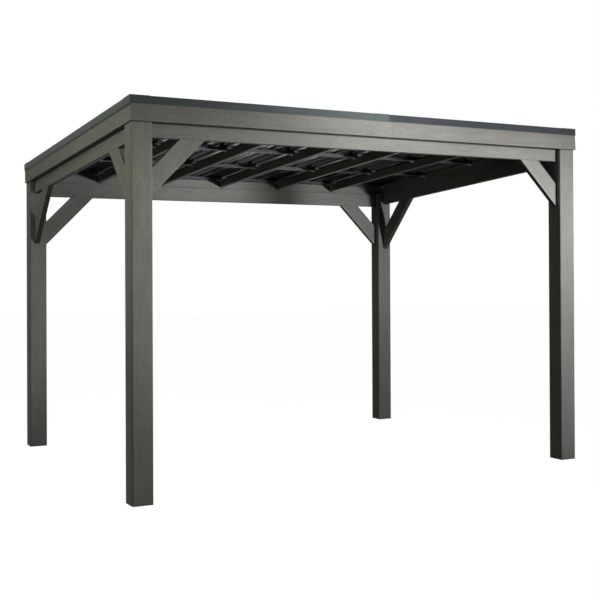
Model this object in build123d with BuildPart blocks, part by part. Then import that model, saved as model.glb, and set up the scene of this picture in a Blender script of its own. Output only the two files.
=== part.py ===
from build123d import *
from math import atan, cos, hypot, radians, sin
import os

os.makedirs("parts", exist_ok=True)

# All sizes are in millimetres. X runs along the long open front, -Y is the front, +Z is up,
# and the origin is on the ground in the middle of the plan.

# Posts
post_size = 140.0            # side of a square post
post_edge_radius = 8.0       # rounded upright edges
posts_length = 3640.0        # left to right over the outer faces of the posts
posts_depth = 2800.0         # front to back over the outer faces of the posts
seat_height = 2345.0         # ground to the underside of the roof frame, half way back
roof_fall = 170.0            # how much lower the back of the roof frame sits than the front

# Beams between the posts, and the knee braces below them
beam_thickness = 42.0
front_beam_depth = 92.0
side_beam_depth = 102.0
back_beam_depth = 120.0
beam_setback = 38.0          # outer face of a beam behind the outer face of the posts
front_brace_width = 124.0
brace_width = 136.0          # all other knee braces
front_left_leg = 378.0       # reach of a brace down its post and along the front or back beam
front_right_leg = 360.0
back_left_leg = 428.0
back_right_leg = 396.0
front_left_side_leg = 440.0  # reach of a brace down its post and along the side beam
front_right_side_leg = 280.0
back_left_side_leg = 460.0
back_right_side_leg = 480.0
eased_edge = 3.0             # rounding of the long edges of beams, braces and rafters

# Roof frame: boards on edge, square to the sloping roof plane
frame_overhang = 9.0         # outer face of the roof frame beyond the posts
fascia_thickness = 58.0
front_joint_x = 124.0        # butt joint of the two front boards
back_joint_x = -124.0        # butt joint of the two back boards
rim_upstand = 32.0           # how far the boards rise above the ribs of the roof sheets

# Rafters inside the frame, and the battens across the top of them
rafter_count = 5
rafter_thickness = 38.0
rafter_depth = 64.0
rafter_lift = 20.0           # underside of a rafter above the underside of the frame
purlin_count = 2
batten_pitch = 735.0         # from the back ledger forward to each purlin
batten_width = 45.0
batten_depth = 20.0

# Ribbed metal roof sheets
sheet_count = 4
ribs_per_sheet = 6
lap_width = 8.0              # flat edge of a sheet beside its first rib
rib_height = 24.0
rib_top_width = 30.0
rib_flank_run = 14.0         # how far one flank of a rib runs sideways
swage_height = 6.0           # the low stiffener in the middle of every pan
swage_top_width = 10.0
swage_flank_run = 6.0
sheet_thickness = 1.0

# Metal edge flashing
flashing_thickness = 2.0
flashing_height = 50.0       # depth of the band on the outside of the frame
flashing_top_width = 76.0    # width of the leg that lies on top
flashing_front_lap_x = 96.0  # right end of the lap in the front flashing
flashing_back_lap_x = 4.0
lap_length = 100.0           # how far a left length lies over the right length
lap_root = 12.0              # length of the step where the lap leaves its own length
cap_leg = 134.0              # length of a corner cap along each side
cap_thickness = 1.5
joint_gap = 0.6              # open joint between two lengths in line

# Places worked out from the sizes above
half_length = posts_length / 2
half_depth = posts_depth / 2
fall_rate = roof_fall / posts_depth
pitch = atan(fall_rate)
sheet_low = rafter_lift + rafter_depth + batten_depth
fascia_height = sheet_low + rib_height + sheet_thickness + rim_upstand
frame_stack = fascia_height + flashing_thickness + cap_thickness
roof_shift = -sin(pitch) * frame_stack / 2
post_top = Plane(
    origin=(0, 0, seat_height),
    x_dir=(1, 0, 0),
    z_dir=(0, sin(pitch), cos(pitch)),
)
roof = Plane(
    origin=(0, roof_shift, seat_height - fall_rate * roof_shift),
    x_dir=post_top.x_dir,
    z_dir=post_top.z_dir,
)
frame_half_x = half_length + frame_overhang
frame_half_y = (half_depth + frame_overhang) / cos(pitch)
inner_half_x = frame_half_x - fascia_thickness
inner_half_y = frame_half_y - fascia_thickness


def seat_at(y):
    """Height of the sloping underside of the roof frame at a place front to back."""
    return seat_height - fall_rate * y


def finish(piece, name):
    """Label a piece and write it to its own file."""
    piece.part.label = name
    export_step(piece.part, f"parts/{name}.step")


def make_post(x_side, y_side):
    """A square post with rounded edges, its top cut to the slope of the roof."""
    x = x_side * (half_length - post_size / 2)
    y = y_side * (half_depth - post_size / 2)
    with BuildPart() as post:
        with BuildSketch():
            with Locations((x, y)):
                RectangleRounded(post_size, post_size, post_edge_radius)
        extrude(amount=seat_height + roof_fall)
        split(bisect_by=post_top, keep=Keep.BOTTOM)
    return post


def make_cross_beam(y_side, depth):
    """A beam along X between two posts; its top follows the slope."""
    span = posts_length - 2 * post_size
    outer = y_side * (half_depth - beam_setback)
    inner = outer - y_side * beam_thickness
    bottom = seat_at(outer) - depth
    with BuildPart() as beam:
        with BuildSketch(Plane.YZ.offset(-span / 2)):
            with BuildLine():
                Polyline(
                    (outer, bottom),
                    (outer, seat_at(outer)),
                    (inner, seat_at(inner)),
                    (inner, bottom),
                    close=True,
                )
            make_face()
        extrude(amount=span)
        fillet(beam.edges().filter_by(Axis.X).group_by(Axis.Z)[0], eased_edge)
    return beam


def make_side_beam(x_side):
    """A beam along Y between two posts, parallel to the slope, with plumb ends."""
    start = -half_depth + post_size
    stop = half_depth - post_size
    outer = x_side * (half_length - beam_setback)
    along = Axis((0, 0, 0), (0, stop - start, seat_at(stop) - seat_at(start)))
    with BuildPart() as beam:
        with BuildSketch(Plane.YZ.offset(outer)):
            with BuildLine():
                Polyline(
                    (start, seat_at(start) - side_beam_depth),
                    (start, seat_at(start)),
                    (stop, seat_at(stop)),
                    (stop, seat_at(stop) - side_beam_depth),
                    close=True,
                )
            make_face()
        extrude(amount=-x_side * beam_thickness)
        long_edges = beam.edges().filter_by(along).sort_by(Axis.Z)
        fillet(long_edges[:2], eased_edge)
    return beam


def make_cross_brace(x_side, y_side, leg, width, depth):
    """A knee brace from a post to the front or back beam, which is depth deep."""
    outer = y_side * (half_depth - beam_setback)
    face = half_length - post_size
    cut = width / sin(radians(45))
    beam_bottom = seat_at(outer) - depth
    heel = (x_side * face, beam_bottom - leg)
    toe = (x_side * (face - leg), beam_bottom)
    along = Axis((0, 0, 0), (toe[0] - heel[0], 0, toe[1] - heel[1]))
    with BuildPart() as brace:
        with BuildSketch(Plane.XZ.offset(-outer)):
            with BuildLine():
                Polyline(
                    heel,
                    (heel[0], heel[1] + cut),
                    (toe[0] + x_side * cut, toe[1]),
                    toe,
                    close=True,
                )
            make_face()
        extrude(amount=y_side * beam_thickness)
        fillet(brace.edges().filter_by(along), eased_edge)
    return brace


def make_side_brace(x_side, y_side, leg):
    """A knee brace from a post to a side beam, its top cut to the slope of the beam."""
    outer = x_side * (half_length - beam_setback)
    face = y_side * (half_depth - post_size)
    cut = brace_width / sin(radians(45))
    near_top = face - y_side * (leg - cut)
    far_top = face - y_side * leg
    heel = (face, seat_at(far_top) - side_beam_depth - leg)
    throat = (face, seat_at(near_top) - side_beam_depth - leg + cut)
    along = Axis((0, 0, 0), (0, -y_side, 1))
    with BuildPart() as brace:
        with BuildSketch(Plane.YZ.offset(outer)):
            with BuildLine():
                Polyline(
                    heel,
                    throat,
                    (near_top, seat_at(near_top) - side_beam_depth),
                    (far_top, seat_at(far_top) - side_beam_depth),
                    close=True,
                )
            make_face()
        extrude(amount=-x_side * beam_thickness)
        fillet(brace.edges().filter_by(along), eased_edge)
    return brace


def rim_outline(side, outer, inner, start=None, stop=None):
    """Plan of one mitred side of a rim that runs round the roof frame.

    outer and inner are distances out from the faces of the frame; start and stop
    replace a mitre with a square cut at that X.
    """
    x_out = frame_half_x + outer
    x_in = frame_half_x + inner
    y_out = frame_half_y + outer
    y_in = frame_half_y + inner
    if side in ("left", "right"):
        s = -1 if side == "left" else 1
        return [(s * x_out, -y_out), (s * x_in, -y_in), (s * x_in, y_in), (s * x_out, y_out)]
    s = -1 if side == "front" else 1
    left_out, left_in = (-x_out, -x_in) if start is None else (start, start)
    right_out, right_in = (x_out, x_in) if stop is None else (stop, stop)
    return [(left_out, s * y_out), (left_in, s * y_in), (right_in, s * y_in), (right_out, s * y_out)]


def make_fascia(side, start=None, stop=None):
    """A board of the roof frame, on edge, with mitred corners."""
    with BuildPart() as board:
        with BuildSketch(roof):
            with BuildLine():
                Polyline(*rim_outline(side, 0, -fascia_thickness, start, stop), close=True)
            make_face()
        extrude(amount=fascia_height)
    return board


def make_flashing(side, start=None, stop=None, lap_end=None):
    """An angle over the outer top edge of the roof frame; it may end in a lap over the next one."""
    layers = [(0, flashing_thickness, start, stop)]
    if lap_end is not None:
        layers.append((flashing_thickness, cap_thickness, stop - lap_root, lap_end))
    inner = flashing_thickness - flashing_top_width
    with BuildPart() as flashing:
        for lift, thickness, begin, end in layers:
            outer = lift + thickness
            with BuildSketch(roof.offset(fascia_height + flashing_thickness - flashing_height)):
                with BuildLine():
                    Polyline(*rim_outline(side, outer, lift, begin, end), close=True)
                make_face()
            extrude(amount=flashing_height)
            with BuildSketch(roof.offset(fascia_height + lift)):
                with BuildLine():
                    Polyline(*rim_outline(side, outer, inner, begin, end), close=True)
                make_face()
            extrude(amount=thickness)
    return flashing


def make_corner_cap(x_side, y_side):
    """A folded cap over the meeting flashings at one corner."""
    face_x = frame_half_x + flashing_thickness
    face_y = frame_half_y + flashing_thickness
    top = fascia_height + flashing_thickness
    far_x = x_side * (face_x + cap_thickness)
    far_y = y_side * (face_y + cap_thickness)
    end_x = x_side * (face_x - cap_leg)
    end_y = y_side * (face_y - cap_leg)
    near_x = x_side * face_x
    near_y = y_side * face_y
    with BuildPart() as cap:
        with BuildSketch(roof.offset(top - flashing_height)):
            with BuildLine():
                Polyline(
                    (end_x, far_y),
                    (far_x, far_y),
                    (far_x, end_y),
                    (near_x, end_y),
                    (near_x, near_y),
                    (end_x, near_y),
                    close=True,
                )
            make_face()
        extrude(amount=flashing_height)
        with BuildSketch(roof.offset(top)):
            with BuildLine():
                Polyline(
                    (end_x, far_y),
                    (far_x, far_y),
                    (far_x, end_y),
                    (near_x - x_side * flashing_top_width, end_y),
                    (near_x - x_side * flashing_top_width, near_y - y_side * flashing_top_width),
                    (end_x, near_y - y_side * flashing_top_width),
                    close=True,
                )
            make_face()
        extrude(amount=cap_thickness)
    return cap


def make_rafter(x):
    """A joist from the front board to the back board."""
    with BuildPart() as rafter:
        with BuildSketch(roof.offset(rafter_lift)):
            with Locations((x, 0)):
                Rectangle(rafter_thickness, 2 * inner_half_y)
        extrude(amount=rafter_depth)
        long_edges = rafter.edges().filter_by(Axis((0, 0, 0), roof.y_dir)).sort_by(Axis.Z)
        fillet(long_edges[:2], eased_edge)
    return rafter


def make_batten(y):
    """A batten along X on top of the rafters."""
    with BuildPart() as batten:
        with BuildSketch(roof.offset(rafter_lift + rafter_depth)):
            with Locations((0, y)):
                Rectangle(2 * inner_half_x, batten_width)
        extrude(amount=batten_depth)
    return batten


def fold(x, height, top_width, flank_run):
    """Corners of one fold of a sheet, lower and upper surface, from its foot at x."""
    lower = [
        (x, sheet_low),
        (x + flank_run, sheet_low + height),
        (x + flank_run + top_width, sheet_low + height),
        (x + 2 * flank_run + top_width, sheet_low),
    ]
    slant = sheet_thickness * (hypot(flank_run, height) - flank_run) / height
    shift = [-slant, -slant, slant, slant]
    upper = [(px + dx, pz + sheet_thickness) for (px, pz), dx in zip(lower, shift)]
    return lower, upper


def make_sheet(index):
    """One ribbed roof sheet, its ribs running front to back."""
    width = 2 * inner_half_x / sheet_count
    rib_pitch = width / ribs_per_sheet
    rib_width = rib_top_width + 2 * rib_flank_run
    swage_width = swage_top_width + 2 * swage_flank_run
    swage_start = (rib_pitch + lap_width + rib_width - swage_width) / 2
    left = -inner_half_x + index * width
    start = left + (joint_gap / 2 if index > 0 else 0)
    stop = left + width - (joint_gap / 2 if index < sheet_count - 1 else 0)
    lower = []
    upper = []
    for rib in range(ribs_per_sheet):
        x = left + rib * rib_pitch
        rib_low, rib_up = fold(x + lap_width, rib_height, rib_top_width, rib_flank_run)
        swage_low, swage_up = fold(x + swage_start, swage_height, swage_top_width, swage_flank_run)
        lower += rib_low + swage_low
        upper += rib_up + swage_up
    outline = [(start, sheet_low), *lower, (stop, sheet_low)]
    outline += [(stop, sheet_low + sheet_thickness), *reversed(upper), (start, sheet_low + sheet_thickness)]
    profile = Plane(origin=roof.origin, x_dir=(1, 0, 0), z_dir=-roof.y_dir)
    with BuildPart() as sheet:
        with BuildSketch(profile):
            with BuildLine():
                Polyline(*outline, close=True)
            make_face()
        extrude(amount=inner_half_y, both=True)
    return sheet


corners = {
    "front_left": (-1, -1),
    "front_right": (1, -1),
    "back_left": (-1, 1),
    "back_right": (1, 1),
}

for corner, (x_side, y_side) in corners.items():
    finish(make_post(x_side, y_side), f"post_{corner}")
    finish(make_corner_cap(x_side, y_side), f"flashing_cap_{corner}")

finish(make_cross_beam(-1, front_beam_depth), "beam_front")
finish(make_cross_beam(1, back_beam_depth), "beam_back")
finish(make_side_beam(-1), "beam_left")
finish(make_side_beam(1), "beam_right")

brace_legs = {
    "front_left": (front_left_leg, front_left_side_leg),
    "front_right": (front_right_leg, front_right_side_leg),
    "back_left": (back_left_leg, back_left_side_leg),
    "back_right": (back_right_leg, back_right_side_leg),
}
for corner, (leg, side_leg) in brace_legs.items():
    x_side, y_side = corners[corner]
    front = y_side < 0
    width = front_brace_width if front else brace_width
    depth = front_beam_depth if front else back_beam_depth
    finish(make_cross_brace(x_side, y_side, leg, width, depth), f"brace_along_{corner}")
    finish(make_side_brace(x_side, y_side, side_leg), f"brace_side_{corner}")

for side, joint_x in (("front", front_joint_x), ("back", back_joint_x)):
    finish(make_fascia(side, stop=joint_x - joint_gap / 2), f"fascia_{side}_left")
    finish(make_fascia(side, start=joint_x + joint_gap / 2), f"fascia_{side}_right")
finish(make_fascia("left"), "fascia_left")
finish(make_fascia("right"), "fascia_right")

rafter_spacing = 2 * inner_half_x / (rafter_count + 1)
for number in range(1, rafter_count + 1):
    finish(make_rafter(-inner_half_x + number * rafter_spacing), f"rafter_{number}")

ledger_y = inner_half_y - batten_width / 2
for number in range(1, purlin_count + 1):
    finish(make_batten(ledger_y - (purlin_count + 1 - number) * batten_pitch), f"purlin_{number}")
finish(make_batten(-ledger_y), "ledger_front")
finish(make_batten(ledger_y), "ledger_back")

for index in range(sheet_count):
    finish(make_sheet(index), f"roof_sheet_{index + 1}")

for side, lap_x in (("front", flashing_front_lap_x), ("back", flashing_back_lap_x)):
    joint_x = lap_x - lap_length
    finish(make_flashing(side, stop=joint_x, lap_end=lap_x), f"flashing_{side}_left")
    finish(make_flashing(side, start=joint_x + joint_gap), f"flashing_{side}_right")
finish(make_flashing("left"), "flashing_left")
finish(make_flashing("right"), "flashing_right")
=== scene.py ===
import math
import random

import bpy
import bmesh
from mathutils import Euler, Matrix, Vector


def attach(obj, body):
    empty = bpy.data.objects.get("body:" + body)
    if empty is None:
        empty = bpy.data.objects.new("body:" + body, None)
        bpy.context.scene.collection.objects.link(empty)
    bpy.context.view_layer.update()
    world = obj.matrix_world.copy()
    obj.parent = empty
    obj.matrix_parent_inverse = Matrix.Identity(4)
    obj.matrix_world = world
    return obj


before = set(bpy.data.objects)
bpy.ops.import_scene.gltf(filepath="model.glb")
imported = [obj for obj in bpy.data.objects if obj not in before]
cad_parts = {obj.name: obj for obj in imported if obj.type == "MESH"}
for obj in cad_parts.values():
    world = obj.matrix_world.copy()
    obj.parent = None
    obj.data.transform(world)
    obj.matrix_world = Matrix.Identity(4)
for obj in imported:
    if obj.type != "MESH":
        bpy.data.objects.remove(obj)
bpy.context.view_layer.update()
scene = bpy.context.scene
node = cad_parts


# Camera
# It stands on level ground in front of the left end, at a man's shoulder height, and looks
# along the long open front. Lens and shift give the framing of the 600 by 600 picture.

picture_px = 600
focal_px = 1050.66
centre_px = (290.06, 268.96)
camera_place = (-3.9705, -7.7230, 1.4489)
turn, tilt, roll = (math.radians(a) for a in (27.3465, 0.3654, -0.2562))

camera_data = bpy.data.cameras.new("viewpoint")
camera_data.sensor_fit = "HORIZONTAL"
camera_data.sensor_width = 36.0
camera_data.lens = focal_px / picture_px * camera_data.sensor_width
camera_data.shift_x = (picture_px / 2 - centre_px[0]) / picture_px
camera_data.shift_y = (centre_px[1] - picture_px / 2) / picture_px
camera_data.clip_end = 200.0
camera = bpy.data.objects.new("viewpoint", camera_data)
facing = Euler((math.radians(90) + tilt, 0, -turn)).to_matrix() @ Matrix.Rotation(roll, 3, "Z")
camera.matrix_world = Matrix.Translation(camera_place) @ facing.to_4x4()
scene.collection.objects.link(camera)
scene.camera = camera
scene.view_settings.view_transform = "Standard"


# Studio floor and lamps
# A pale floor that looks white and still takes the shadow. The main lamp stands to the right of
# the front at waist height, with flaps that cut its light into beams. Softer lamps fill the left
# end and the underside of the roof, and four far ones light the top, the back and the right end.

floor_size = 60.0
floor_reflectance = 0.22
floor_glow = 0.985
room_light = 0.003
room_tint = (0.96, 1.0, 0.90)


def new_paint(name):
    """A material with nothing in it yet, and its tree of nodes."""
    paint = bpy.data.materials.new(name)
    paint.use_nodes = True
    paint.node_tree.nodes.clear()
    return paint, paint.node_tree


def backdrop_rays(tree):
    """One where the eye, a mirror or clear glass meets this surface, and zero for its light."""
    ray = tree.nodes.new("ShaderNodeLightPath")
    seen = tree.nodes.new("ShaderNodeMath")
    seen.operation = "MAXIMUM"
    seen_or_mirrored = tree.nodes.new("ShaderNodeMath")
    seen_or_mirrored.operation = "MAXIMUM"
    tree.links.new(ray.outputs["Is Camera Ray"], seen.inputs[0])
    tree.links.new(ray.outputs["Is Transmission Ray"], seen.inputs[1])
    tree.links.new(seen.outputs[0], seen_or_mirrored.inputs[0])
    tree.links.new(ray.outputs["Is Glossy Ray"], seen_or_mirrored.inputs[1])
    return seen_or_mirrored.outputs[0]


bpy.ops.mesh.primitive_plane_add(size=floor_size, location=(0, 0, 0))
floor = bpy.context.active_object
floor.name = "studio_floor"
floor_paint, tree = new_paint("studio_floor_paint")
matt = tree.nodes.new("ShaderNodeBsdfDiffuse")
matt.inputs["Color"].default_value = (floor_reflectance, floor_reflectance, floor_reflectance, 1)
glow = tree.nodes.new("ShaderNodeEmission")
glow.inputs["Color"].default_value = (1, 1, 1, 1)
shown = tree.nodes.new("ShaderNodeMath")
shown.operation = "MULTIPLY"
shown.inputs[1].default_value = floor_glow
both = tree.nodes.new("ShaderNodeAddShader")
floor_out = tree.nodes.new("ShaderNodeOutputMaterial")
tree.links.new(backdrop_rays(tree), shown.inputs[0])
tree.links.new(shown.outputs[0], glow.inputs["Strength"])
tree.links.new(matt.outputs[0], both.inputs[0])
tree.links.new(glow.outputs[0], both.inputs[1])
tree.links.new(both.outputs[0], floor_out.inputs["Surface"])
floor.data.materials.append(floor_paint)

room = bpy.data.worlds.new("studio_room")
scene.world = room
room.use_nodes = True
tree = room.node_tree
tree.nodes.clear()
dim = tree.nodes.new("ShaderNodeBackground")
dim.inputs["Color"].default_value = (*room_tint, 1)
dim.inputs["Strength"].default_value = room_light
white = tree.nodes.new("ShaderNodeBackground")
white.inputs["Color"].default_value = (1, 1, 1, 1)
white.inputs["Strength"].default_value = 1.0
choose = tree.nodes.new("ShaderNodeMixShader")
room_out = tree.nodes.new("ShaderNodeOutputWorld")
tree.links.new(backdrop_rays(tree), choose.inputs["Fac"])
tree.links.new(dim.outputs[0], choose.inputs[1])
tree.links.new(white.outputs[0], choose.inputs[2])
tree.links.new(choose.outputs[0], room_out.inputs["Surface"])


def set_up_lamp(lamp_data, place, target, watts, colour):
    """Stand a lamp at its place, turned to face its target."""
    lamp_data.energy = watts
    lamp_data.color = colour
    lamp = bpy.data.objects.new(lamp_data.name, lamp_data)
    aim = (Vector(target) - Vector(place)).to_track_quat("-Z", "Y")
    lamp.matrix_world = Matrix.Translation(place) @ aim.to_matrix().to_4x4()
    scene.collection.objects.link(lamp)


def studio_spot(name, place, target, spread, width, watts, colour):
    """A soft spot lamp that fades out towards the edge of its spread, which is in degrees."""
    lamp_data = bpy.data.lights.new(name, "SPOT")
    lamp_data.spot_size = math.radians(spread)
    lamp_data.spot_blend = 1.0
    lamp_data.shadow_soft_size = width / 2
    set_up_lamp(lamp_data, place, target, watts, colour)


def studio_panel(name, place, target, size, watts, colour):
    """A soft rectangular panel of light."""
    lamp_data = bpy.data.lights.new(name, "AREA")
    lamp_data.shape = "RECTANGLE"
    lamp_data.size, lamp_data.size_y = size
    set_up_lamp(lamp_data, place, target, watts, colour)


# Each beam of the main lamp: what it is turned to, its spread in degrees and its watts.
key_place = (3.49, -5.4, 1.1)
key_width = 0.75
key_colour = (0.99, 0.985, 1.0)
key_beams = [
    ((0.3, -1.4, 2.47), 16.0, 1060.0),
    ((0.9, -1.4, 2.46), 25.0, 350.0),
    ((-0.30, -1.4, 2.62), 14.0, 1190.0),
    ((-0.6, -1.4, 2.50), 11.0, 340.0),
    ((-1.7, -1.4, 1.8), 24.0, 780.0),
    ((-1.75, -1.4, 1.0), 30.0, 775.0),
    ((-1.5, -1.38, 2.05), 7.0, 460.0),
    ((1.34, -1.35, 2.2), 9.0, 700.0),
    ((0.5, 1.3, 2.1), 24.0, 330.0),
    ((0.5, 1.3, 2.1), 60.0, 690.0),
    ((-0.35, 1.35, 2.3), 10.0, 780.0),
    ((-1.85, 1.3, 1.1), 14.0, 600.0),
    ((1.75, 1.3, 1.5), 14.0, 290.0),
    ((0.95, 1.35, 2.2), 13.0, 330.0),
]
for number, (target, spread, watts) in enumerate(key_beams, 1):
    studio_spot(f"key_lamp_{number}", key_place, target, spread, key_width, watts, key_colour)

side_colour = (0.98, 1.0, 0.84)
inner_colour = (0.90, 1.0, 0.82)
studio_spot("left_lamp", (-5.6, -2.8, 2.8), (-1.8, -0.9, 2.15), 36.0, 0.6, 116.0, side_colour)
studio_spot("inner_fill", (-5.0, -0.3, 1.2), (1.77, 0.2, 2.22), 16.0, 0.5, 26.0, inner_colour)
studio_panel("left_fill", (-5.2, -2.2, 2.8), (-1.8, -0.5, 2.2), (2.0, 0.5), 18.0, side_colour)
studio_panel("low_left_fill", (-4.5, 0.0, 2.6), (-1.8, 0.0, 2.3), (3.0, 0.4), 7.0, side_colour)
studio_panel("high_left_fill", (-5.0, 0.0, 4.5), (-1.8, 0.0, 2.0), (3.0, 1.0), 17.0, side_colour)

# Each far lamp: where it stands, what it is turned to, its spread in degrees and its watts.
far_width = 1.0
far_colour = (1.0, 1.0, 0.97)
far_lamps = [
    ((0.5, 1.0, 8.0), (0.0, 0.0, 2.45), 44.0, 1000.0),
    ((2.2, 7.2, 4.2), (0.9, 1.4, 2.15), 22.0, 500.0),
    ((-2.2, 7.2, 4.2), (-0.9, 1.4, 2.15), 22.0, 500.0),
    ((7.2, 0.6, 3.8), (1.8, 0.0, 2.2), 26.0, 330.0),
]
for number, (place, target, spread, watts) in enumerate(far_lamps, 1):
    studio_spot(f"far_lamp_{number}", place, target, spread, far_width, watts, far_colour)


# Posts
# Four square softwood posts, planed smooth with rounded corners, the top cut to the slope of
# the roof. They stand on the ground and are coloured with a thin grey stain that shows the grain.

post_names = ["post_front_left", "post_front_right", "post_back_left", "post_back_right"]
stain_colour = (0.245, 0.243, 0.222)
stain_dark = (0.175, 0.173, 0.155)
stain_pale = (0.300, 0.298, 0.276)
even_share = 0.78
# How far the painted shade in joints and creases reaches.
painted_joint_shade_reach = 0.012
fibre_height = 0.0006


def shade_from(tree, source, low, high, at_low, at_high):
    """Turn a pattern that runs from low to high into a shade from at_low to at_high."""
    shade = tree.nodes.new("ShaderNodeMapRange")
    shade.inputs["From Min"].default_value = low
    shade.inputs["From Max"].default_value = high
    shade.inputs["To Min"].default_value = at_low
    shade.inputs["To Max"].default_value = at_high
    tree.links.new(source, shade.inputs["Value"])
    return shade.outputs["Result"]


def shade_times(tree, first, second):
    """Lay one shade over another."""
    product = tree.nodes.new("ShaderNodeMath")
    product.operation = "MULTIPLY"
    tree.links.new(first, product.inputs[0])
    tree.links.new(second, product.inputs[1])
    return product.outputs[0]


def grain_pattern(tree, board, scale, detail, rough):
    """An uneven pattern that follows the board. Scale counts its patches per metre, along first."""
    where = tree.nodes.new("ShaderNodeMapping")
    where.inputs["Scale"].default_value = scale
    pattern = tree.nodes.new("ShaderNodeTexNoise")
    pattern.inputs["Scale"].default_value = 1.0
    pattern.inputs["Detail"].default_value = detail
    pattern.inputs["Roughness"].default_value = rough
    tree.links.new(board, where.inputs["Vector"])
    tree.links.new(where.outputs["Vector"], pattern.inputs["Vector"])
    return pattern.outputs["Fac"]


def stained_timber(name, base, dark, pale, gloss, painted_underside_level):
    """Planed softwood under stain, with painted shade in its joints and a painted shade on lower
    faces that the last argument sets.
    """
    paint, tree = new_paint(name)
    grain = tree.nodes.new("ShaderNodeAttribute")
    grain.attribute_name = "grain"
    board = grain.outputs["Vector"]
    bands = grain_pattern(tree, board, (1.2, 16.0, 16.0), 2.0, 0.55)
    fibres = grain_pattern(tree, board, (8.0, 140.0, 140.0), 3.0, 0.6)
    clouds = grain_pattern(tree, board, (3.0, 9.0, 9.0), 4.0, 0.6)
    specks = grain_pattern(tree, board, (42.0, 85.0, 85.0), 2.0, 0.6)

    banding = tree.nodes.new("ShaderNodeMix")
    banding.data_type = "RGBA"
    banding.inputs["A"].default_value = (*dark, 1)
    banding.inputs["B"].default_value = (*pale, 1)
    tree.links.new(shade_from(tree, bands, 0.30, 0.70, 0.0, 1.0), banding.inputs["Factor"])
    coat = tree.nodes.new("ShaderNodeMix")
    coat.data_type = "RGBA"
    coat.inputs["Factor"].default_value = even_share
    coat.inputs["B"].default_value = (*base, 1)
    tree.links.new(banding.outputs["Result"], coat.inputs["A"])

    fibre_shade = shade_from(tree, fibres, 0.25, 0.75, 0.90, 1.09)
    cloud_shade = shade_from(tree, clouds, 0.25, 0.75, 0.91, 1.08)
    speck_shade = shade_from(tree, specks, 0.3, 0.7, 0.915, 1.085)
    uneven = shade_times(tree, cloud_shade, speck_shade)

    # Painted shade: ambient occlusion darkens the timber in joints and creases between parts, where
    # shade falls.
    joint = tree.nodes.new("ShaderNodeAmbientOcclusion")
    joint.samples = 16
    joint.inputs["Distance"].default_value = painted_joint_shade_reach
    painted_joint_shade = shade_from(tree, joint.outputs["AO"], 0.45, 0.96, 0.10, 1.0)
    # Painted shade: faces that point downwards are darkened, as far as the underside argument sets;
    # together with the joint shade this is all painted shade.
    surface = tree.nodes.new("ShaderNodeNewGeometry")
    facing = tree.nodes.new("ShaderNodeSeparateXYZ")
    tree.links.new(surface.outputs["Normal"], facing.inputs[0])
    painted_underside_shade = shade_from(tree, facing.outputs["Z"], -0.65, -0.35, painted_underside_level, 1.0)
    painted_shade = shade_times(tree, painted_joint_shade, painted_underside_shade)

    grain_shade = shade_times(tree, fibre_shade, uneven)
    stained = tree.nodes.new("ShaderNodeVectorMath")
    stained.operation = "SCALE"
    tree.links.new(coat.outputs["Result"], stained.inputs[0])
    tree.links.new(shade_times(tree, grain_shade, painted_shade), stained.inputs["Scale"])

    relief = tree.nodes.new("ShaderNodeBump")
    relief.inputs["Strength"].default_value = 0.12
    relief.inputs["Distance"].default_value = fibre_height
    tree.links.new(fibres, relief.inputs["Height"])

    wood = tree.nodes.new("ShaderNodeBsdfPrincipled")
    wood.inputs["Roughness"].default_value = gloss
    wood.inputs["Specular IOR Level"].default_value = 0.03
    tree.links.new(stained.outputs["Vector"], wood.inputs["Base Color"])
    tree.links.new(relief.outputs["Normal"], wood.inputs["Normal"])
    out = tree.nodes.new("ShaderNodeOutputMaterial")
    tree.links.new(wood.outputs[0], out.inputs["Surface"])
    return paint


def lay_grain(piece, along, across, seed):
    """Store on every corner of a board where it lies in the timber that it was cut from."""
    x = Vector(along).normalized()
    z = x.cross(Vector(across)).normalized()
    y = z.cross(x)
    pick = random.Random(seed)
    offset = Vector((pick.uniform(0, 20), pick.uniform(0, 20), pick.uniform(0, 20)))
    mesh = piece.data
    grain = mesh.attributes.new("grain", "FLOAT_VECTOR", "POINT")
    for vertex, place in zip(mesh.vertices, grain.data):
        p = vertex.co
        place.vector = Vector((p.dot(x), p.dot(y), p.dot(z))) + offset


def dress(piece, paint):
    """Give a piece its one material."""
    piece.data.materials.clear()
    piece.data.materials.append(paint)


stain = stained_timber(
    "grey_stained_timber", stain_colour, stain_dark, stain_pale, gloss=0.65, painted_underside_level=0.25,
)
for number, name in enumerate(post_names):
    lay_grain(node[name], (0, 0, 1), (1, 0, 0), 10 + number)
    dress(node[name], stain)


# Beams
# Four boards on edge between the posts, just under the roof frame, with eased lower edges. They
# are screwed to the posts from inside. The side beams follow the slope of the roof, which falls
# 170 mm over the 2800 mm that the posts stand deep.

roof_fall = 170.0 / 2800.0
slope = Vector((0, 1, -roof_fall)).normalized()
for number, name in enumerate(["beam_front", "beam_back"]):
    lay_grain(node[name], (1, 0, 0), (0, 0, 1), 20 + number)
    dress(node[name], stain)
for number, name in enumerate(["beam_left", "beam_right"]):
    lay_grain(node[name], slope, (0, 0, 1), 24 + number)
    dress(node[name], stain)


# Beam screws
# Two steel pan-head screws, one above the other, hold each end of a beam to its post. They are
# driven from inside, 26 mm from the end of the beam.

# How far from the middle the beams' ends and inner faces are, and how high their lower edges
# are at the front (-1) and at the back (1).
long_beam_end = 1.680
long_beam_face = 1.320
long_beam_low = {-1: 2.3357, 1: 2.1423}
side_beam_end = 1.260
side_beam_face = 1.740
side_beam_low = {-1: 2.3197, 1: 2.1665}
beam_end_inset = 0.026
long_beam_rises = (0.028, 0.064)
side_beam_rises = (0.026, 0.074)
head_sides = 12
pan_head = [(0.0045, -0.0005), (0.0045, 0.0010), (0.0036, 0.0024), (0.0015, 0.0030)]


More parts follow.
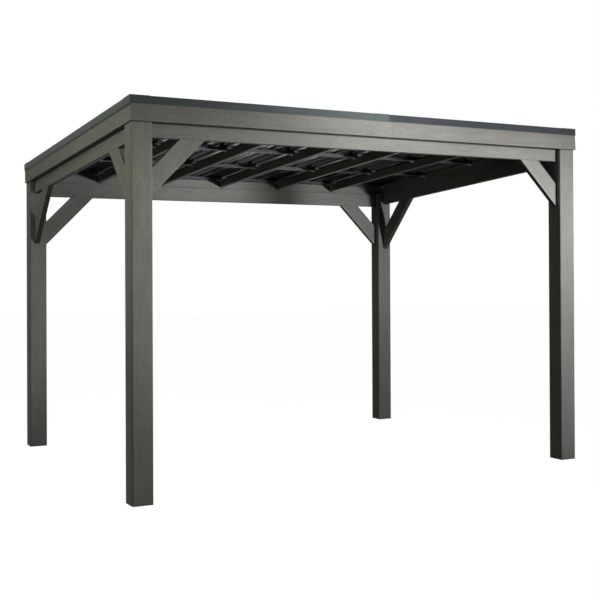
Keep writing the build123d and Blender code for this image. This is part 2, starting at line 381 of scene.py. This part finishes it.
def finish_piece(shape, name, paint):
    """Turn a finished mesh into a piece of the gazebo with its material."""
    mesh = bpy.data.meshes.new(name)
    bmesh.ops.recalc_face_normals(shape, faces=shape.faces)
    shape.to_mesh(mesh)
    shape.free()
    piece = bpy.data.objects.new(name, mesh)
    mesh.materials.append(paint)
    scene.collection.objects.link(piece)
    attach(piece, "root")


def join_rings(shape, lower, upper):
    """Close the band between two rings of corners."""
    for k in range(len(lower)):
        shape.faces.new((lower[k - 1], lower[k], upper[k], upper[k - 1]))


def turned_heads(name, spots, outline, paint):
    """One piece of many small turned parts: each has this outline of radius and height."""
    shape = bmesh.new()
    for place, outward in spots:
        turned = Vector(outward).to_track_quat("Z", "X").to_matrix().to_4x4()
        at = Matrix.Translation(place) @ turned
        rings = []
        for radius, height in outline:
            ring = []
            for k in range(head_sides):
                angle = math.tau * k / head_sides
                x, y = radius * math.cos(angle), radius * math.sin(angle)
                ring.append(shape.verts.new(at @ Vector((x, y, height))))
            rings.append(ring)
        for lower, upper in zip(rings, rings[1:]):
            join_rings(shape, lower, upper)
        shape.faces.new(rings[0])
        shape.faces.new(rings[-1])
    finish_piece(shape, name, paint)


def even_finish(name, colour, roughness, metallic):
    """A surface of one colour and one gloss all over."""
    paint = bpy.data.materials.new(name)
    paint.use_nodes = True
    surface = paint.node_tree.nodes["Principled BSDF"]
    surface.inputs["Base Color"].default_value = (*colour, 1)
    surface.inputs["Roughness"].default_value = roughness
    surface.inputs["Metallic"].default_value = metallic
    return paint


zinc = even_finish("zinc_plated_steel", (0.34, 0.35, 0.36), roughness=0.45, metallic=0.85)
spots = []
for sy, low in long_beam_low.items():
    for sx in (-1, 1):
        for rise in long_beam_rises:
            x = sx * (long_beam_end - beam_end_inset)
            spots.append(((x, sy * long_beam_face, low + rise), (0, -sy, 0)))
for sx in (-1, 1):
    for sy, low in side_beam_low.items():
        for rise in side_beam_rises:
            y = sy * (side_beam_end - beam_end_inset)
            spots.append(((sx * side_beam_face, y, low + rise), (-sx, 0, 0)))
turned_heads("beam_screws", spots, pan_head, zinc)


# Knee braces
# Eight boards cut at 45 degrees, two in each corner, from the post to the beams on both sides
# of it. Their long edges are eased, and their ends are screwed to post and beam.

corners = [
    ("front_left", -1, -1), ("front_right", 1, -1), ("back_left", -1, 1), ("back_right", 1, 1),
]
for number, (corner, sx, sy) in enumerate(corners):
    along_x = node[f"brace_along_{corner}"]
    along_y = node[f"brace_side_{corner}"]
    lay_grain(along_x, (-sx, 0, 1), (sx, 0, 1), 30 + number)
    lay_grain(along_y, (0, -sy, 1), (0, sy, 1), 36 + number)
    dress(along_x, stain)
    dress(along_y, stain)


# Brace screws
# Three dark countersunk screws above the top end of each brace, 20 mm up from the lower edge of
# the beam. They pull the beam down on the sawn end of the brace.

# How far each brace reaches along its beam from the post, and how wide its sawn end is there.
along_reach = [(-1, -1, 0.378), (1, -1, 0.360), (-1, 1, 0.428), (1, 1, 0.396)]
side_reach = [(-1, -1, 0.440), (1, -1, 0.280), (-1, 1, 0.460), (1, 1, 0.480)]
brace_cut = 0.136 * math.sqrt(2)
front_brace_cut = 0.124 * math.sqrt(2)
screw_rise = 0.020
screw_shares = (0.25, 0.44, 0.91)
flush_head = [(0.0048, -0.0005), (0.0048, 0.0002), (0.0036, 0.0004)]

dark_steel = even_finish("blackened_steel", (0.020, 0.020, 0.019), roughness=0.5, metallic=0.0)
spots = []
for sx, sy, reach in along_reach:
    cut = front_brace_cut if sy < 0 else brace_cut
    for share in screw_shares:
        x = sx * (long_beam_end - reach + share * cut)
        spots.append(((x, sy * long_beam_face, long_beam_low[sy] + screw_rise), (0, -sy, 0)))
for sx, sy, reach in side_reach:
    for share in screw_shares:
        y = sy * (side_beam_end - reach + share * brace_cut)
        low = side_beam_low[-1] - (y + side_beam_end) * roof_fall
        spots.append(((sx * side_beam_face, y, low + screw_rise), (-sx, 0, 0)))
turned_heads("brace_screws", spots, flush_head, dark_steel)


# Roof frame
# A shallow box of boards on edge, mitred at the corners, that lies on the posts and tilts to the
# back. The front and back sides are each made of two boards that butt against each other.

long_board_names = [
    "fascia_front_left", "fascia_front_right", "fascia_back_left", "fascia_back_right",
]
end_board_names = ["fascia_left", "fascia_right"]
board_easing = 0.0025
for number, name in enumerate(long_board_names):
    lay_grain(node[name], (1, 0, 0), (0, 0, 1), 40 + number)
    dress(node[name], stain)
for number, name in enumerate(end_board_names):
    lay_grain(node[name], slope, (0, 0, 1), 46 + number)
    dress(node[name], stain)
for name in long_board_names + end_board_names:
    eased = node[name].modifiers.new("eased_edges", "BEVEL")
    eased.width = board_easing
    eased.segments = 2
    eased.limit_method = "ANGLE"
    eased.angle_limit = math.radians(40)


# Rafters
# Five joists from the front board to the back board, of the same timber as the posts, held
# at both ends and carrying the battens. Their stain is darkened as painted shade.

# Painted shade: the post stain made darker, standing in for the shade under the roof; their lower
# faces get no painted underside shade.
rafter_shaded_colour = (0.180, 0.180, 0.160)
rafter_shaded_dark = (0.130, 0.130, 0.112)
rafter_shaded_pale = (0.225, 0.225, 0.200)
rafter_shaded_stain = stained_timber(
    "rafter_timber_painted_shade", rafter_shaded_colour, rafter_shaded_dark, rafter_shaded_pale,
    gloss=0.6, painted_underside_level=1.0,
)
for number in range(5):
    rafter = node[f"rafter_{number + 1}"]
    lay_grain(rafter, slope, (0, 0, 1), 50 + number)
    dress(rafter, rafter_shaded_stain)


# Battens
# Thin coated steel strips across the top of the rafters, one along each end board and two
# between them. The roof sheets are screwed down to them.


def coated_metal(name, colour, roughness, mottle, shine):
    """Factory-coated sheet steel with a faint unevenness in colour and gloss."""
    paint, tree = new_paint(name)
    place = tree.nodes.new("ShaderNodeTexCoord")
    speck = tree.nodes.new("ShaderNodeTexNoise")
    speck.inputs["Scale"].default_value = 9.0
    speck.inputs["Detail"].default_value = 5.0
    tree.links.new(place.outputs["Object"], speck.inputs["Vector"])
    specks = speck.outputs["Fac"]
    tint = tree.nodes.new("ShaderNodeVectorMath")
    tint.operation = "SCALE"
    tint.inputs[0].default_value = colour
    shade = shade_from(tree, specks, 0.3, 0.7, 1.0 - mottle, 1.0 + mottle)
    dullness = shade_from(tree, specks, 0.3, 0.7, roughness - 0.04, roughness + 0.04)
    steel = tree.nodes.new("ShaderNodeBsdfPrincipled")
    steel.inputs["Specular IOR Level"].default_value = shine
    out = tree.nodes.new("ShaderNodeOutputMaterial")
    tree.links.new(shade, tint.inputs["Scale"])
    tree.links.new(tint.outputs["Vector"], steel.inputs["Base Color"])
    tree.links.new(dullness, steel.inputs["Roughness"])
    tree.links.new(steel.outputs[0], out.inputs["Surface"])
    return paint


batten_coat = coated_metal(
    "grey_coated_batten", (0.094, 0.091, 0.095), roughness=0.38, mottle=0.12, shine=0.06,
)
for name in ["purlin_1", "purlin_2", "ledger_front", "ledger_back"]:
    dress(node[name], batten_coat)


# Batten cleats
# Small folded angles of zinc-plated steel under the battens, on the left side of each rafter and
# at the end boards. One screw goes sideways into the timber and one goes up into the batten.

# From here on the roof is set out from the middle of the roof frame's underside, and tilts with it.
pitch = math.atan(roof_fall)
frame_underside_middle = (0, -0.00498, 2.3453)
roof_place = Matrix.Translation(frame_underside_middle) @ Matrix.Rotation(-pitch, 4, "X")
roof_down = roof_place.to_3x3() @ Vector((0, 0, -1))
rafter_step = 0.5903
rafter_side = 0.019
inner_side = 1.771
batten_bed = 0.084
batten_rows = (-1.3311, -0.1389, 0.5961, 1.3311)
cleat_drop = 0.013
cleat_reach = 0.034
cleat_length = 0.030
cleat_thick = 0.002
cleat_set_in = 0.010
side_screw_drop = 0.007
up_screw_reach = 0.022
cleat_outline = [
    (0, 0), (0, -cleat_drop), (cleat_thick, -cleat_drop),
    (cleat_thick, -cleat_thick), (cleat_reach, -cleat_thick), (cleat_reach, 0),
]

hold_points = [(step * rafter_step - rafter_side, -1) for step in (-2, -1, 0, 1, 2)]
hold_points += [(-inner_side, 1), (inner_side, -1)]
shape = bmesh.new()
spots = []
for x, way in hold_points:
    for row in batten_rows:
        y = row - math.copysign(cleat_set_in, row)
        ends = []
        for y_end in (y - cleat_length / 2, y + cleat_length / 2):
            ends.append([
                shape.verts.new(roof_place @ Vector((x + way * across, y_end, batten_bed + up)))
                for across, up in cleat_outline
            ])
        join_rings(shape, ends[0], ends[1])
        shape.faces.new(ends[0])
        shape.faces.new(ends[1])
        side_place = Vector((x + way * cleat_thick, y, batten_bed - side_screw_drop))
        up_place = Vector((x + way * up_screw_reach, y, batten_bed - cleat_thick))
        spots.append((roof_place @ side_place, (way, 0, 0)))
        spots.append((roof_place @ up_place, roof_down))
finish_piece(shape, "batten_cleats", zinc)
turned_heads("cleat_screws", spots, pan_head, zinc)


# Roof sheets
# Four lengths of ribbed steel sheet side by side, coated charcoal, running from front to back
# inside the frame so that rain drains to the lower side.

sheet_coat = coated_metal(
    "charcoal_roof_sheet", (0.041, 0.041, 0.043), roughness=0.12, mottle=0.08, shine=0.06,
)
for number in range(1, 5):
    dress(node[f"roof_sheet_{number}"], sheet_coat)


# Roof screws
# Self-drilling screws with a washer in every second valley of the sheets, at each batten. Their
# points come out under the batten.

sheet_face = 0.105
sheet_pitch = 0.8855
rib_pitch = 0.14758
first_valley = 0.081
screw_outline = [
    (0.0018, -0.032), (0.0024, -0.028), (0.0024, -0.0002), (0.0072, -0.0002),
    (0.0072, 0.0012), (0.0046, 0.0014), (0.0046, 0.0060), (0.0036, 0.0066),
]
spots = []
for sheet in range(4):
    for valley in (0, 2, 4):
        x = -inner_side + sheet * sheet_pitch + valley * rib_pitch + first_valley
        for row in batten_rows:
            spots.append((roof_place @ Vector((x, row, sheet_face)), -roof_down))
turned_heads("roof_screws", spots, screw_outline, zinc)


# Edge flashing
# Folded steel angles over the top edge of the roof frame, coated slate grey, lapped in the
# middle of the front and back and closed with a folded cap at every corner.

# Painted sheen: two copies of one coat. The lighter copy stands in for the main lamp's glint; the
# darker one goes on the front right length, the right end and the right-hand caps.
sheen_edge_coat = coated_metal(
    "slate_edge_flashing_painted_sheen", (0.108, 0.124, 0.126), roughness=0.40, mottle=0.05, shine=0.02,
)
dark_edge_coat = coated_metal(
    "dark_slate_edge_flashing", (0.061, 0.067, 0.074), roughness=0.40, mottle=0.05, shine=0.02,
)
for name in [
    "flashing_front_left", "flashing_back_left", "flashing_back_right", "flashing_left",
    "flashing_cap_front_left", "flashing_cap_back_left",
]:
    dress(node[name], sheen_edge_coat)
for name in [
    "flashing_front_right", "flashing_right",
    "flashing_cap_front_right", "flashing_cap_back_right",
]:
    dress(node[name], dark_edge_coat)


# Painted shadow under the left flashing
# A thin near-black strip on the face of the left board, just below the flashing, that stands
# in for the shadow in the gap under the flashing's lower edge.

shadow_strip_low, shadow_strip_high = 0.1000, 0.1135
shadow_strip_out, shadow_strip_in = -1.8300, -1.8285
shadow_strip_half_length = 1.408
# Painted shadow: a near-black matt colour for the shadow strip.
shadow_strip_paint = even_finish("painted_shadow_black", (0.004, 0.004, 0.003), roughness=0.9, metallic=0.0)
shape = bmesh.new()
bmesh.ops.create_cube(shape, size=1.0)
for vertex in shape.verts:
    x, y, z = vertex.co
    vertex.co = roof_place @ Vector((
        shadow_strip_in if x > 0 else shadow_strip_out,
        math.copysign(shadow_strip_half_length, y),
        shadow_strip_high if z > 0 else shadow_strip_low,
    ))
finish_piece(shape, "flashing_shadow_strip_left", shadow_strip_paint)
